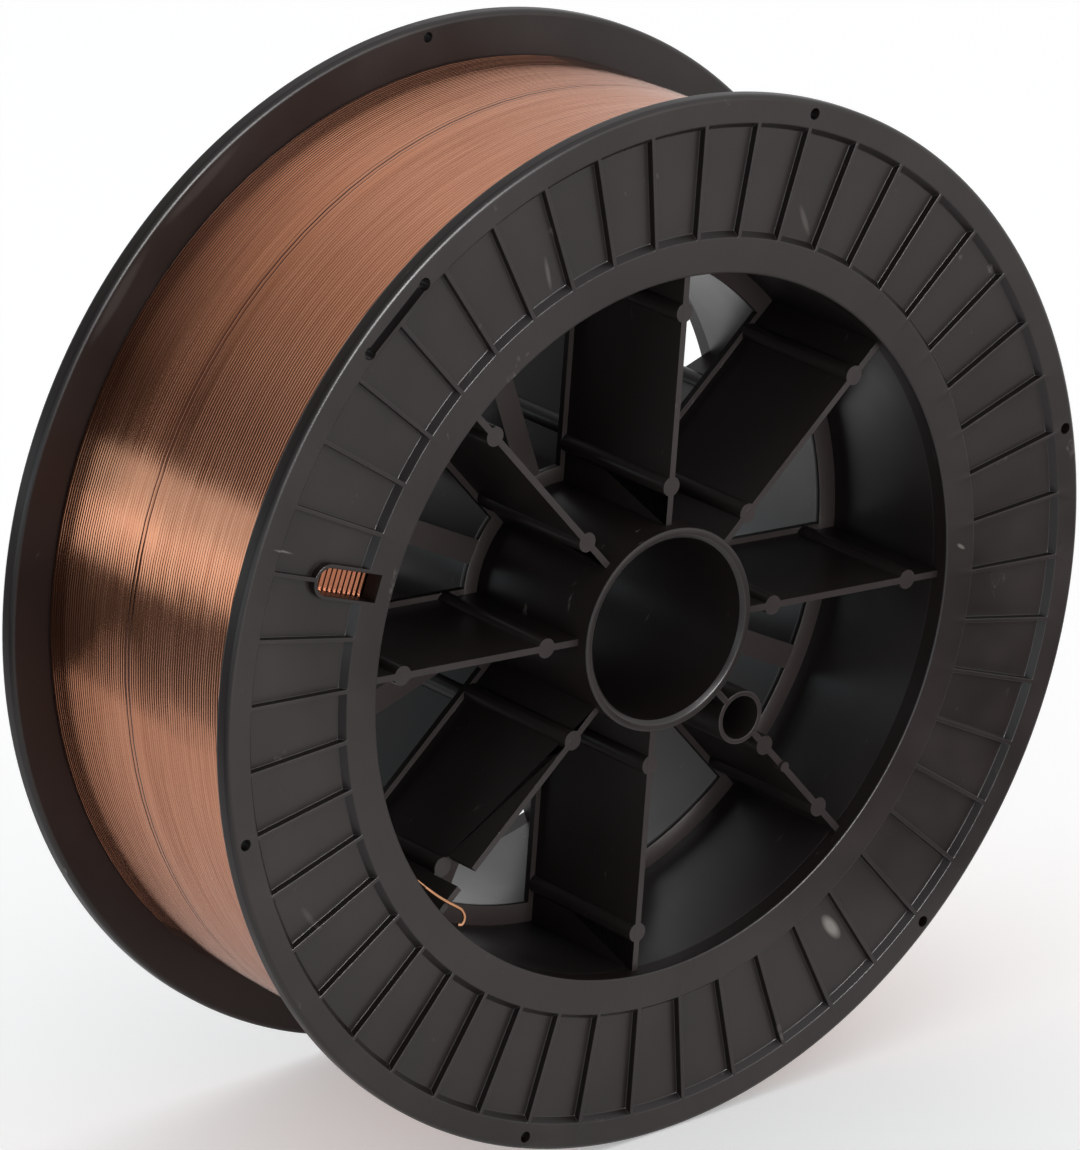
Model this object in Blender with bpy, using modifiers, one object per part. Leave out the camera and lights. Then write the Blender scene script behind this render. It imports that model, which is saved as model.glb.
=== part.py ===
"""A full spool of copper-coated welding wire, standing on the rims of its two flanges.

The origin is the spool's centre and its axis is the world Y axis; the front faces -Y.
The black plastic spool has two ribbed flanges, a barrel that carries the wire, a hub tube
for the feeder's spindle, and a thin web half way along with radial ribs on both its sides.
Angles are in degrees as seen from the front, from +X towards +Z.
"""

from math import asin, copysign, cos, pi, radians, sin

import bmesh
import bpy
import numpy as np
from mathutils import Matrix

# Flanges.
FLANGE_R = 0.150
SPOOL_WIDTH = 0.103
FLANGE_T = 0.0055
RIM_ROUNDING = 0.0015
RIM_RING_WIDTH = 0.0077
MOUTH_RING_WIDTH = 0.0055
POCKET_DEPTH = 0.0021
POCKET_SLOPE = 0.0015
FLANGE_RIBS = 48
FLANGE_RIB_T = 0.00125

# Slot for the wire's free end in the front flange, and the rim holes, which share its
# circle of places in the front and lie opposite each other in the rear.
SLOT_ANGLE = 130.0
SLOT_INSET = 0.006
SLOT_LENGTH = 0.027
SLOT_WIDTH = 0.0024
SLOT_END_R = 0.00215
SLOT_LIP = 0.0015
RIM_PLACES = 6
RIM_HOLE_R = 0.0015
RIM_HOLE_INSET = 0.0036
REAR_HOLES = 2
REAR_HOLE_ANGLE = 92.5

# Window in the front flange that shows how much wire is left.
WINDOW_RIBS_ON = 4
WINDOW_FROM_BARREL = 0.001
WINDOW_LENGTH = 0.021
WINDOW_WIDTH = 0.0075
WINDOW_LIP = 0.00115

# Barrel, hub tube and the web between them.
BARREL_R = 0.105
BARREL_WALL = 0.0045
HUB_BORE_R = 0.026
HUB_WALL = 0.0031
HUB_CHAMFER = 0.0004
HUB_LEAD_IN = 0.0011
WEB_T = 0.002
WEB_FORWARD = 0.0025
WEB_OUTER_LEDGE = 0.0052
WEB_HUB_LEDGE = 0.0041
FRONT_STRIP_WIDTH = 0.0052
REAR_STRIP_WIDTH = 0.0071

# Radial ribs, with the round columns that the ejector pins pushed on.
RIBS = 8
RIB_T = 0.0019
RIB_INSET = 0.00345
REAR_TURN = 22.5
COLUMN_R = 0.0028
COLUMN_FROM_HUB = 0.011
COLUMN_FROM_BARREL = 0.0112
NOTCHED_RIB = 3
NOTCH_FROM_BARREL = 0.0122
NOTCH_LENGTH = 0.0064
NOTCH_DEPTH = 0.0105
GATE_PLACE = 0.0687
GATE_R = 0.0015
GATE_HEIGHT = 0.001

# Sleeves round the hole for the feeder's driving pin.
SLEEVE_RIB = 5
DRIVE_PLACE = 0.0445
DRIVE_HOLE_R = 0.0053
SLEEVE_MOUTH_R = 0.0062
SLEEVE_R = 0.0078
SLEEVE_COLUMN_GAP = 0.0029

# Wire.
WIRE_R = 0.0005
WINDING_DEPTH = 0.03265
TURNS = 24
TURN_POINTS = 24
WIRE_BEND_R = 0.0015
START_ANGLE = 212.0
START_DEPTH = 0.008
START_HOLE_R = 0.001
TAIL_OVER_RIB = 0.00085

# Points of the wire's start, first from its hole and then from the notched rib: how far
# inside the barrel's mouth, how many degrees on and how far out each one lies.
TAIL_FROM_HOLE = [
    (0.0, 0.0, 0.0),
    (0.0012, 0.3, 0.0006),
    (0.0016, 0.9, 0.0020),
    (0.0017, 1.7, 0.0036),
]
TAIL_FROM_RIB = [
    (0.0019, -5.3, -0.0004),
    (0.0027, -3.2, 0.0),
    (0.0037, -0.8, 0.0),
    (0.0047, 1.6, 0.0),
    (0.0050, 2.7, 0.0),
    (0.0046, 3.7, 0.0),
    (0.0036, 4.5, -0.0001),
    (0.0021, 4.8, -0.0003),
    (0.0013, 4.2, -0.0005),
]

# Clearances and steps.
FIT_GAP = 0.0003
CUT_OVER = 0.002
WELD = 0.000005
RIM_STEPS = 72
HUB_STEPS = 48
ROUND_STEPS = 2
BOSS_STEPS = 6
HOLE_SIDES = 12
SLEEVE_SIDES = 24

# Places worked out from the sizes above.
FRONT = 1
REAR = -1
SIDE_NAMES = {FRONT: "front", REAR: "rear"}
FACE = SPOOL_WIDTH / 2
INNER_FACE = FACE - FLANGE_T
MOUTH_R = BARREL_R - BARREL_WALL
MOUTH_RING_R = BARREL_R + MOUTH_RING_WIDTH
RIM_RING_R = FLANGE_R - RIM_RING_WIDTH
POCKET_FLOOR = FACE - POCKET_DEPTH
RIB_PITCH = 360 / FLANGE_RIBS
HUB_R = HUB_BORE_R + HUB_WALL
RIB_TOP = FACE - RIB_INSET
RIB_START = HUB_R + FIT_GAP
RIB_END = MOUTH_R - FIT_GAP
INNER_COLUMN_PLACE = HUB_R + COLUMN_FROM_HUB
OUTER_COLUMN_PLACE = MOUTH_R - COLUMN_FROM_BARREL
NOTCH_PLACE = MOUTH_R - NOTCH_FROM_BARREL
WINDING_R = BARREL_R + WINDING_DEPTH
STRIP_START = RIB_START + WEB_HUB_LEDGE + FIT_GAP
STRIP_END = RIB_END - WEB_OUTER_LEDGE - FIT_GAP
STRIP_WIDTHS = {FRONT: FRONT_STRIP_WIDTH, REAR: REAR_STRIP_WIDTH}
WIRE_CLEAR = INNER_FACE - FIT_GAP
DRIVE_ANGLE = SLOT_ANGLE + (SLEEVE_RIB - 1) * 360 / RIBS

BLACK_PLASTIC = "403b3b"
DARK_PLASTIC = "2a2725"
COPPER = "b07a58"
BRIGHT_COPPER = "c98d66"


def clear_scene():
    for old in list(bpy.data.objects):
        bpy.data.objects.remove(old)


def new_collection(name):
    collection = bpy.data.collections.new(name)
    bpy.context.scene.collection.children.link(collection)
    return collection


clear_scene()
PARTS = new_collection("wire_spool")
CUTTERS = new_collection("cutters")


def linear(hex_code):
    """The linear RGBA of an sRGB hex code."""
    channels = [int(hex_code[i : i + 2], 16) / 255 for i in (0, 2, 4)]
    return [c / 12.92 if c <= 0.04045 else ((c + 0.055) / 1.055) ** 2.4 for c in channels] + [1]


def material(name, hex_code, roughness, metallic=0.0):
    made = bpy.data.materials.new(name)
    made.use_nodes = True
    shader = made.node_tree.nodes["Principled BSDF"]
    shader.inputs["Base Color"].default_value = linear(hex_code)
    shader.inputs["Roughness"].default_value = roughness
    shader.inputs["Metallic"].default_value = metallic
    made.diffuse_color = linear(hex_code)
    return made


def facing(name, side):
    """An empty whose local Z points out of the front or the rear of the spool."""
    empty = bpy.data.objects.new(name, None)
    empty.rotation_euler.x = side * pi / 2
    PARTS.objects.link(empty)
    return empty


HALVES = {FRONT: facing("front_half", FRONT), REAR: facing("rear_half", REAR)}


def local_angle(side, degrees):
    """The angle in a half's own frame of a place given as seen from the front."""
    return side * radians(degrees)


def half_degrees(side, degrees):
    """The rear half repeats the front half, turned by REAR_TURN."""
    return degrees if side == FRONT else degrees + REAR_TURN


def spread(first, count):
    """Angles of a ring of equal places."""
    return [first + i * 360 / count for i in range(count)]


def new_object(name, data, side=FRONT):
    made = bpy.data.objects.new(name, data)
    made.parent = HALVES[side]
    PARTS.objects.link(made)
    return made


def as_cutter(tool):
    PARTS.objects.unlink(tool)
    CUTTERS.objects.link(tool)
    tool.hide_render = True
    tool.display_type = "WIRE"
    return tool


def boolean(target, operation, tool):
    modifier = target.modifiers.new(tool.name, "BOOLEAN")
    modifier.operation = operation
    modifier.solver = "EXACT"
    modifier.object = tool


def cut(target, *tools):
    for tool in tools:
        boolean(target, "DIFFERENCE", as_cutter(tool))


def join(target, *tools):
    for tool in tools:
        boolean(target, "UNION", as_cutter(tool))


def turned(name, profile, steps, side=FRONT, corner=None):
    """A closed profile of (radius, height) turned about Z.

    It has a corner at the angle given, or else half a step from each main axis, which
    leaves a flat facing along each of them.
    """
    angle = pi / steps if corner is None else corner
    points = [(r * cos(angle), r * sin(angle), z) for r, z in profile]
    edges = [(i, (i + 1) % len(points)) for i in range(len(points))]
    mesh = bpy.data.meshes.new(name)
    mesh.from_pydata(points, edges, [])
    made = new_object(name, mesh, side)
    screw = made.modifiers.new("Turn", "SCREW")
    screw.steps = steps
    screw.render_steps = steps
    screw.merge_threshold = 0.00001
    return made


def ring_profile(inner, outer, bottom, top):
    return [(outer, top), (outer, bottom), (inner, bottom), (inner, top)]


def arc(centre_r, centre_z, radius, first, last):
    """Points of a profile's rounded edge, between two angles in degrees."""
    angles = np.radians(np.linspace(first, last, ROUND_STEPS + 1))
    return [(centre_r + radius * cos(a), centre_z + radius * sin(a)) for a in angles]


def blocks(name, side, places, start, end, width, bottom, top):
    """Radial blocks from one radius to another, at each angle in degrees."""
    shape = bmesh.new()
    size = Matrix.Diagonal((end - start, width, top - bottom, 1))
    middle = Matrix.Translation(((start + end) / 2, 0, (bottom + top) / 2))
    for degrees in places:
        turn = Matrix.Rotation(local_angle(side, degrees), 4, "Z")
        bmesh.ops.create_cube(shape, size=1, matrix=turn @ middle @ size)
    return from_bmesh(name, shape, side)


def pegs(name, side, places, distance, radius, bottom, top, sides=HOLE_SIDES, top_radius=None):
    """Round pegs along Z at one distance from the axis, at each angle in degrees."""
    shape = bmesh.new()
    middle = Matrix.Translation((distance, 0, (bottom + top) / 2))
    for degrees in places:
        turn = Matrix.Rotation(local_angle(side, degrees), 4, "Z")
        bmesh.ops.create_cone(
            shape,
            cap_ends=True,
            segments=sides,
            radius1=radius,
            radius2=radius if top_radius is None else top_radius,
            depth=top - bottom,
            matrix=turn @ middle,
        )
    return from_bmesh(name, shape, side)


def from_bmesh(name, shape, side):
    mesh = bpy.data.meshes.new(name)
    shape.to_mesh(mesh)
    shape.free()
    return new_object(name, mesh, side)


def bar_outline(start, end, width, bosses=(), steps=BOSS_STEPS):
    """Outline of a bar along X that swells to a round boss at each (place, radius)."""
    upper = []
    if not bosses or bosses[0][0] > start:
        upper.append((start, width / 2))
    for place, radius in bosses:
        meets = asin(min(1.0, width / 2 / radius))
        first = pi if place <= start else pi - meets
        last = 0.0 if place >= end else meets
        for i in range(steps + 1):
            angle = first + (last - first) * i / steps
            upper.append((place + radius * cos(angle), radius * sin(angle)))
    if not bosses or bosses[-1][0] < end:
        upper.append((end, width / 2))
    on_axis = 0.00001
    lower = [(x, -y) for x, y in reversed(upper) if y > on_axis]
    return upper + lower


def slab(name, side, outline, bottom, top):
    """A flat outline in the XY plane, given a height, with one whole face at each end."""
    curve = bpy.data.curves.new(name, "CURVE")
    curve.dimensions = "2D"
    curve.fill_mode = "NONE"
    curve.extrude = (top - bottom) / 2
    spline = curve.splines.new("POLY")
    spline.points.add(len(outline) - 1)
    for point, (x, y) in zip(spline.points, outline):
        point.co = (x, y, 0, 1)
    spline.use_cyclic_u = True
    sketch = new_object(name + "_outline", curve, side)
    graph = bpy.context.evaluated_depsgraph_get()
    mesh = bpy.data.meshes.new_from_object(sketch.evaluated_get(graph))
    bpy.data.objects.remove(sketch)
    shape = bmesh.new()
    shape.from_mesh(mesh)
    bmesh.ops.remove_doubles(shape, verts=shape.verts, dist=WELD)
    bmesh.ops.holes_fill(shape, edges=shape.edges)
    bmesh.ops.recalc_face_normals(shape, faces=shape.faces)
    bmesh.ops.translate(shape, verts=shape.verts, vec=(0, 0, (bottom + top) / 2))
    return from_bmesh(name, shape, side)


def turn_to(made, side, degrees):
    made.rotation_euler.z = local_angle(side, degrees)
    return made


def finish(made, surface):
    """Settles the modifiers and shades the round faces smooth."""
    graph = bpy.context.evaluated_depsgraph_get()
    mesh = bpy.data.meshes.new_from_object(made.evaluated_get(graph))
    shape = bmesh.new()
    shape.from_mesh(mesh)
    bmesh.ops.remove_doubles(shape, verts=shape.verts, dist=WELD)
    bmesh.ops.dissolve_degenerate(shape, edges=shape.edges, dist=WELD)
    shape.to_mesh(mesh)
    shape.free()
    made.modifiers.clear()
    made.data = mesh
    mesh.materials.clear()
    mesh.materials.append(surface)
    mesh.shade_smooth()
    mesh.set_sharp_from_angle(angle=radians(28))
    return made


# Flanges


def pocket_cutter(name, side):
    """The sunk ring of a flange's outer face, less the ribs and the lips left standing."""
    top = FACE + CUT_OVER
    rise = POCKET_SLOPE / POCKET_DEPTH
    profile = [
        (RIM_RING_R, top),
        (RIM_RING_R, POCKET_FLOOR),
        (MOUTH_RING_R + POCKET_SLOPE, POCKET_FLOOR),
        (MOUTH_RING_R - rise * CUT_OVER, top),
    ]
    start = half_degrees(side, SLOT_ANGLE)
    corner = local_angle(side, start)
    sunk = turned(name + "_pockets", profile, FLANGE_RIBS, side, corner)
    low = POCKET_FLOOR - CUT_OVER
    high = top + CUT_OVER
    ribs = blocks(
        name + "_ribs",
        side,
        spread(start, FLANGE_RIBS),
        MOUTH_RING_R - 2 * CUT_OVER,
        RIM_RING_R + CUT_OVER,
        FLANGE_RIB_T,
        low,
        high,
    )
    cut(sunk, ribs)
    if side == FRONT:
        slot_lip = slot_slab(name + "_slot_lip", side, SLOT_LIP, low, high)
        window_lip = window_slab(name + "_window_lip", side, WINDOW_LIP, low, high)
        cut(sunk, slot_lip, window_lip)
    return sunk


def slot_slab(name, side, lip, bottom, top):
    """The slot's shape, a straight gap with round ends, made wider all round by a lip."""
    reach = SLOT_LENGTH / 2 - SLOT_END_R
    end_r = SLOT_END_R if lip == 0 else SLOT_WIDTH / 2 + lip
    ends = [(-reach, end_r), (reach, end_r)]
    outline = bar_outline(-reach, reach, SLOT_WIDTH + 2 * lip, ends)
    made = slab(name, side, outline, bottom, top)
    angle = local_angle(side, half_degrees(side, SLOT_ANGLE))
    distance = FLANGE_R - SLOT_INSET
    made.location = (distance * cos(angle), distance * sin(angle), 0)
    made.rotation_euler.z = angle + pi / 2
    return made


def window_slab(name, side, lip, bottom, top):
    """The window's shape, square towards the barrel and round outside, with its lip."""
    start = BARREL_R + WINDOW_FROM_BARREL
    round_centre = start + WINDOW_LENGTH - WINDOW_WIDTH / 2
    width = WINDOW_WIDTH + 2 * lip
    outline = bar_outline(start, round_centre, width, [(round_centre, width / 2)])
    made = slab(name, side, outline, bottom, top)
    return turn_to(made, side, half_degrees(side, SLOT_ANGLE + WINDOW_RIBS_ON * RIB_PITCH))


def flange(side):
    name = SIDE_NAMES[side] + "_flange"
    rim_r = FLANGE_R / cos(pi / RIM_STEPS)
    round_r = rim_r - RIM_ROUNDING
    profile = [
        *arc(round_r, FACE - RIM_ROUNDING, RIM_ROUNDING, 90, 0),
        *arc(round_r, INNER_FACE + RIM_ROUNDING, RIM_ROUNDING, 0, -90),
        (MOUTH_R, INNER_FACE),
        (MOUTH_R, FACE),
    ]
    made = turned(name, profile, RIM_STEPS, side)
    low = INNER_FACE - CUT_OVER
    high = FACE + CUT_OVER
    places = spread(REAR_HOLE_ANGLE, REAR_HOLES)
    if side == FRONT:
        places = spread(SLOT_ANGLE, RIM_PLACES)[1:]
    distance = FLANGE_R - RIM_HOLE_INSET
    cut(
        made,
        pocket_cutter(name, side),
        pegs(name + "_holes", side, places, distance, RIM_HOLE_R, low, high),
    )
    if side == FRONT:
        slot = slot_slab(name + "_slot", side, 0, low, high)
        cut(made, slot, window_slab(name + "_window", side, 0, low, high))
    return finish(made, material(name + "_plastic", BLACK_PLASTIC, 0.45))


# Barrel, hub and web


def barrel():
    """The tube that carries the wire, with the small hole that the wire starts from."""
    made = turned("barrel", ring_profile(MOUTH_R, BARREL_R, -WIRE_CLEAR, WIRE_CLEAR), RIM_STEPS)
    shape = bmesh.new()
    angle = local_angle(FRONT, START_ANGLE)
    place = Matrix.Rotation(angle, 4, "Z") @ Matrix.Translation((BARREL_R, 0, start_height()))
    bmesh.ops.create_cone(
        shape,
        cap_ends=True,
        segments=HOLE_SIDES,
        radius1=START_HOLE_R,
        radius2=START_HOLE_R,
        depth=2 * (BARREL_WALL + CUT_OVER),
        matrix=place @ Matrix.Rotation(pi / 2, 4, "Y"),
    )
    cut(made, from_bmesh("barrel_start_hole", shape, FRONT))
    return finish(made, material("barrel_plastic", DARK_PLASTIC, 0.5))


def hub_tube():
    """The tube that turns on the feeder's spindle."""
    profile = [
        (HUB_R - HUB_CHAMFER, FACE),
        (HUB_R, FACE - HUB_CHAMFER),
        (HUB_R, HUB_CHAMFER - FACE),
        (HUB_R - HUB_CHAMFER, -FACE),
        (HUB_BORE_R + HUB_LEAD_IN, -FACE),
        (HUB_BORE_R, HUB_LEAD_IN - FACE),
        (HUB_BORE_R, FACE - HUB_LEAD_IN),
        (HUB_BORE_R + HUB_LEAD_IN, FACE),
    ]
    made = turned("hub_tube", profile, HUB_STEPS)
    return finish(made, material("hub_plastic", BLACK_PLASTIC, 0.4))


def web_face(side):
    """Height of the web's face in the frame of one half."""
    return side * WEB_FORWARD + WEB_T / 2


def web_ring(name, inner, outer):
    """One of the web's two rings, which the foot strips of the ribs reach across between."""
    profile = ring_profile(inner, outer, web_face(FRONT) - WEB_T, web_face(FRONT))
    made = turned(name, profile, RIM_STEPS)
    return finish(made, material(name + "_plastic", DARK_PLASTIC, 0.5))


# Ribs and sleeves


def web_clearance(name, side, degrees, start, end):
    """Cutter that keeps a rib clear of a ring of the web."""
    width = STRIP_WIDTHS[side] + CUT_OVER
    bottom = web_face(side) - WEB_T - CUT_OVER
    return blocks(name, side, [degrees], start, end, width, bottom, web_face(side) + FIT_GAP)


def rib(side, number):
    """One radial rib, from the hub tube to the barrel, with its columns and foot strip."""
    name = f"{SIDE_NAMES[side]}_rib_{number}"
    degrees = half_degrees(side, SLOT_ANGLE + (number - 1) * 360 / RIBS)
    web_top = web_face(side)
    start = RIB_START
    inner = INNER_COLUMN_PLACE
    outer = OUTER_COLUMN_PLACE
    notched = side == FRONT and number == NOTCHED_RIB
    beside_sleeve = side == FRONT and number == SLEEVE_RIB
    if notched:
        outer = NOTCH_PLACE
    if beside_sleeve:
        start = DRIVE_PLACE + SLEEVE_R + FIT_GAP
        inner = start + SLEEVE_COLUMN_GAP + COLUMN_R
    columns = [(inner, COLUMN_R), (outer, COLUMN_R)]
    outline = bar_outline(start, RIB_END, RIB_T, columns)
    made = slab(name, side, outline, web_top - WEB_T / 2, RIB_TOP)
    turn_to(made, side, degrees)
    place = [degrees]
    strip_start = max(STRIP_START - CUT_OVER / 2, start + FIT_GAP)
    strip_end = STRIP_END + CUT_OVER / 2
    strip_bottom = web_top - WEB_T
    width = STRIP_WIDTHS[side]
    strip_name = name + "_strip"
    join(
        made,
        blocks(strip_name, side, place, strip_start, strip_end, width, strip_bottom, web_top),
    )
    cut(
        made,
        web_clearance(name + "_inside", side, degrees, RIB_START - CUT_OVER, STRIP_START),
        web_clearance(name + "_outside", side, degrees, STRIP_END, RIB_END + CUT_OVER),
    )
    if notched:
        floor = RIB_TOP - NOTCH_DEPTH
        notch_start = NOTCH_PLACE - NOTCH_LENGTH / 2
        notch_end = NOTCH_PLACE + NOTCH_LENGTH / 2
        width = 2 * COLUMN_R + CUT_OVER
        high = RIB_TOP + CUT_OVER
        cut(made, blocks(name + "_notch", side, place, notch_start, notch_end, width, floor, high))
    if beside_sleeve:
        low = RIB_TOP - CUT_OVER
        gate_top = RIB_TOP + GATE_HEIGHT
        join(made, pegs(name + "_gate", side, place, GATE_PLACE, GATE_R, low, gate_top))
    return finish(made, material(name + "_plastic", DARK_PLASTIC, 0.5))


def drive_sleeve(side):
    """The sleeve round the driving hole, on a short rib that starts at the hub.

    The front one goes down through the web, and the rear one stands behind it.
    """
    name = SIDE_NAMES[side] + "_drive_sleeve"
    web_top = web_face(side)
    bottom = web_top - WEB_T if side == FRONT else web_top + FIT_GAP
    boss = [(DRIVE_PLACE, SLEEVE_R)]
    outline = bar_outline(RIB_START, DRIVE_PLACE, RIB_T, boss, SLEEVE_SIDES // 2)
    made = slab(name, side, outline, bottom, RIB_TOP)
    turn_to(made, side, DRIVE_ANGLE)
    draft = (SLEEVE_MOUTH_R - DRIVE_HOLE_R) / (RIB_TOP - bottom) * CUT_OVER
    bore = pegs(
        name + "_bore",
        side,
        [DRIVE_ANGLE],
        DRIVE_PLACE,
        DRIVE_HOLE_R - draft,
        bottom - CUT_OVER,
        RIB_TOP + CUT_OVER,
        SLEEVE_SIDES,
        SLEEVE_MOUTH_R + draft,
    )
    cut(made, bore)
    if side == FRONT:
        inside = RIB_START - CUT_OVER
        cut(made, web_clearance(name + "_inside", side, DRIVE_ANGLE, inside, STRIP_START))
    return finish(made, material(name + "_plastic", DARK_PLASTIC, 0.5))


# Wire


def loop_r():
    """Distance from the axis of a point of the outer turns' centre line."""
    return WINDING_R - WIRE_R


def wire_core():
    """The wire under the outer turns, as one block with a flat under each stretch."""
    inner = (BARREL_R + FIT_GAP) / cos(pi / TURN_POINTS)
    outer = loop_r() - WIRE_R - FIT_GAP
    profile = ring_profile(inner, outer, -WIRE_CLEAR, WIRE_CLEAR)
    made = turned("wire_core", profile, TURN_POINTS)
    return finish(made, material("wire_core_copper", COPPER, 0.35, 1.0))


def end_bend(first_height, direction, end_height):
    """(offset along the flat, height) points of an end: the turn, the bend, the straight."""
    rise = copysign(WIRE_BEND_R, end_height - first_height)
    points = []
    for a in np.radians(np.linspace(0, 90, 4)):
        offset = direction * WIRE_BEND_R * (1 - sin(a))
        points.append((offset, first_height + (1 - cos(a)) * rise))
    return points + [(0.0, end_height)]


def outer_turn_points():
    """Centre line of the outer layer: one wire that winds from flange to flange.

    Every turn has TURN_POINTS corners, over the corners of the core. Each end bends on the
    lowest flat and runs straight at the flange.
    """
    first = WIRE_CLEAR - 2 * WIRE_R - WIRE_BEND_R
    corners = TURNS * TURN_POINTS
    step = 2 * pi / TURN_POINTS
    flat_r = loop_r() * cos(step / 2)
    flat_angle = -pi / 2

    def on_flat(offset, height):
        along = (-sin(flat_angle), cos(flat_angle))
        out = (cos(flat_angle), sin(flat_angle))
        return (flat_r * out[0] + offset * along[0], flat_r * out[1] + offset * along[1], height)

    points = [on_flat(*p) for p in reversed(end_bend(first, 1, WIRE_CLEAR))]
    for i in range(corners):
        angle = flat_angle + step * (i + 0.5)
        height = first - 2 * first * (i + 0.5) / corners
        points.append((loop_r() * cos(angle), loop_r() * sin(angle), height))
    points += [on_flat(*p) for p in end_bend(-first, -1, -WIRE_CLEAR)]
    return points


def least_gap(points, radius):
    """Least clear distance of a tube to itself, between stretches over a half turn apart."""
    ends = np.array(points)
    shares = np.linspace(0, 1, 4, endpoint=False)[:, None, None]
    line = (ends[:-1] + shares * (ends[1:] - ends[:-1])).transpose(1, 0, 2).reshape(-1, 3)
    apart = TURN_POINTS // 2 * len(shares)
    least = min(
        np.linalg.norm(line[i + apart :] - line[i], axis=1).min() for i in range(len(line) - apart)
    )
    return least - 2 * radius


def tube(name, points, radius, resolution):
    """A round wire through the points, with closed ends."""
    curve = bpy.data.curves.new(name, "CURVE")
    curve.dimensions = "3D"
    curve.bevel_depth = radius
    curve.bevel_resolution = resolution
    curve.use_fill_caps = True
    spline = curve.splines.new("POLY")
    spline.points.add(len(points) - 1)
    for point, place in zip(spline.points, points):
        point.co = (*place, 1)
    spline.use_smooth = True
    return new_object(name, curve)


def wire_outer_layer():
    points = outer_turn_points()
    print(f"wire_outer_layer: least gap to itself {1000 * least_gap(points, WIRE_R):.2f} mm")
    made = tube("wire_outer_layer", points, WIRE_R, 1)
    made.data.materials.append(material("wire_copper", COPPER, 0.3, 1.0))
    return made


def start_height():
    return FACE - START_DEPTH


def wire_start_tail():
    """The wire's start: out of the barrel's hole, over the notched rib and hooked back."""
    hole_height = start_height()
    over_height = RIB_TOP + TAIL_OVER_RIB
    rib_degrees = SLOT_ANGLE + (NOTCHED_RIB - 1) * 360 / RIBS
    route = [
        (BARREL_R, START_ANGLE, hole_height),
        (BARREL_R - 4 * WIRE_R, START_ANGLE, hole_height),
    ]
    for inward, on, out in TAIL_FROM_HOLE:
        route.append((MOUTH_R - inward, START_ANGLE + on, hole_height + out))
    for inward, on, out in TAIL_FROM_RIB:
        route.append((MOUTH_R - inward, rib_degrees + on, over_height + out))
    points = []
    for distance, degrees, height in route:
        angle = local_angle(FRONT, degrees)
        points.append((distance * cos(angle), distance * sin(angle), height))
    made = tube("wire_start_tail", points, WIRE_R, 2)
    made.data.materials.append(material("tail_copper", BRIGHT_COPPER, 0.25, 1.0))
    return made


def build():
    for side in (FRONT, REAR):
        flange(side)
        drive_sleeve(side)
        for number in range(1, RIBS + 1):
            rib(side, number)
    barrel()
    hub_tube()
    web_ring("web_hub_ring", RIB_START, STRIP_START - FIT_GAP)
    web_ring("web_barrel_ring", (STRIP_END + FIT_GAP) / cos(pi / RIM_STEPS), RIB_END)
    wire_core()
    wire_outer_layer()
    wire_start_tail()


build()
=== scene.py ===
# %% [markdown]
# # A full spool of copper-coated welding wire
#
# The real object is a black plastic spool, 300 mm across and 103 mm wide, wound full with
# copper-coated steel wire. The spool is one injection moulding; here it is built as the
# pieces that a designer would name: two flanges, a barrel, a hub tube, a thin web half way
# along, ribs on both sides of the web, and two sleeves for the feeder's driving pin.
#
# The first cell loads the CAD model, which fixes every size and place. The pieces below
# stand for its nodes one by one and show the detail that CAD leaves out.

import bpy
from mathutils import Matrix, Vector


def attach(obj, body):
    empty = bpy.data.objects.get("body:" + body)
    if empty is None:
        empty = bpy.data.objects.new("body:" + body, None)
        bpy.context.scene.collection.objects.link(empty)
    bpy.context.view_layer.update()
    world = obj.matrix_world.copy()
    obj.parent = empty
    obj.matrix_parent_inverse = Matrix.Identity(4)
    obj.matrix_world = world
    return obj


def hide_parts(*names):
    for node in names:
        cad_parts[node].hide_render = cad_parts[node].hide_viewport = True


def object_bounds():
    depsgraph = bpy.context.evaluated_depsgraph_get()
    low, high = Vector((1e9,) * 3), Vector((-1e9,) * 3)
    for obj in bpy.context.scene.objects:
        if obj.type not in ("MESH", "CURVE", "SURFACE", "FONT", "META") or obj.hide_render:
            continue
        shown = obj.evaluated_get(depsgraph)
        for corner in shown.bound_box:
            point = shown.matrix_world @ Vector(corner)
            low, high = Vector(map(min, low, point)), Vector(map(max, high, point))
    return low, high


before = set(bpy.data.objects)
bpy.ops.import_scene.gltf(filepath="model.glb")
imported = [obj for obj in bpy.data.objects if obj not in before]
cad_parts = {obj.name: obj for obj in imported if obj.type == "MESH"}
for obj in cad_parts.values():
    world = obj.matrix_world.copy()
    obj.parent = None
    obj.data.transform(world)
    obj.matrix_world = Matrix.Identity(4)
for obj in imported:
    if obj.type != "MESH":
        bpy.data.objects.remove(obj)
cad_low, cad_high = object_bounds()
print("CAD box in mm:", [round(1000 * (h - l), 1) for l, h in zip(cad_low, cad_high)])

# %% [markdown]
# ## Hand tools
#
# In Blender a model is shaped by selecting something and running an operator on it. Two
# mistakes are common: leaving something else selected, and selecting by index, which
# breaks as soon as the mesh changes. So these helpers always deselect first, and pick
# vertices, edges and faces by where they are.

# %% Selecting
from math import atan2, cos, hypot, pi, radians, sin

import bmesh
import bpy
from mathutils import Matrix, Vector, noise

MM = 0.001


def alone(obj):
    """Select obj and nothing else, in object mode."""
    if bpy.context.object and bpy.context.object.mode != "OBJECT":
        bpy.ops.object.mode_set(mode="OBJECT")
    bpy.ops.object.select_all(action="DESELECT")
    obj.select_set(True)
    bpy.context.view_layer.objects.active = obj


def edit(obj):
    alone(obj)
    bpy.ops.object.mode_set(mode="EDIT")


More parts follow.
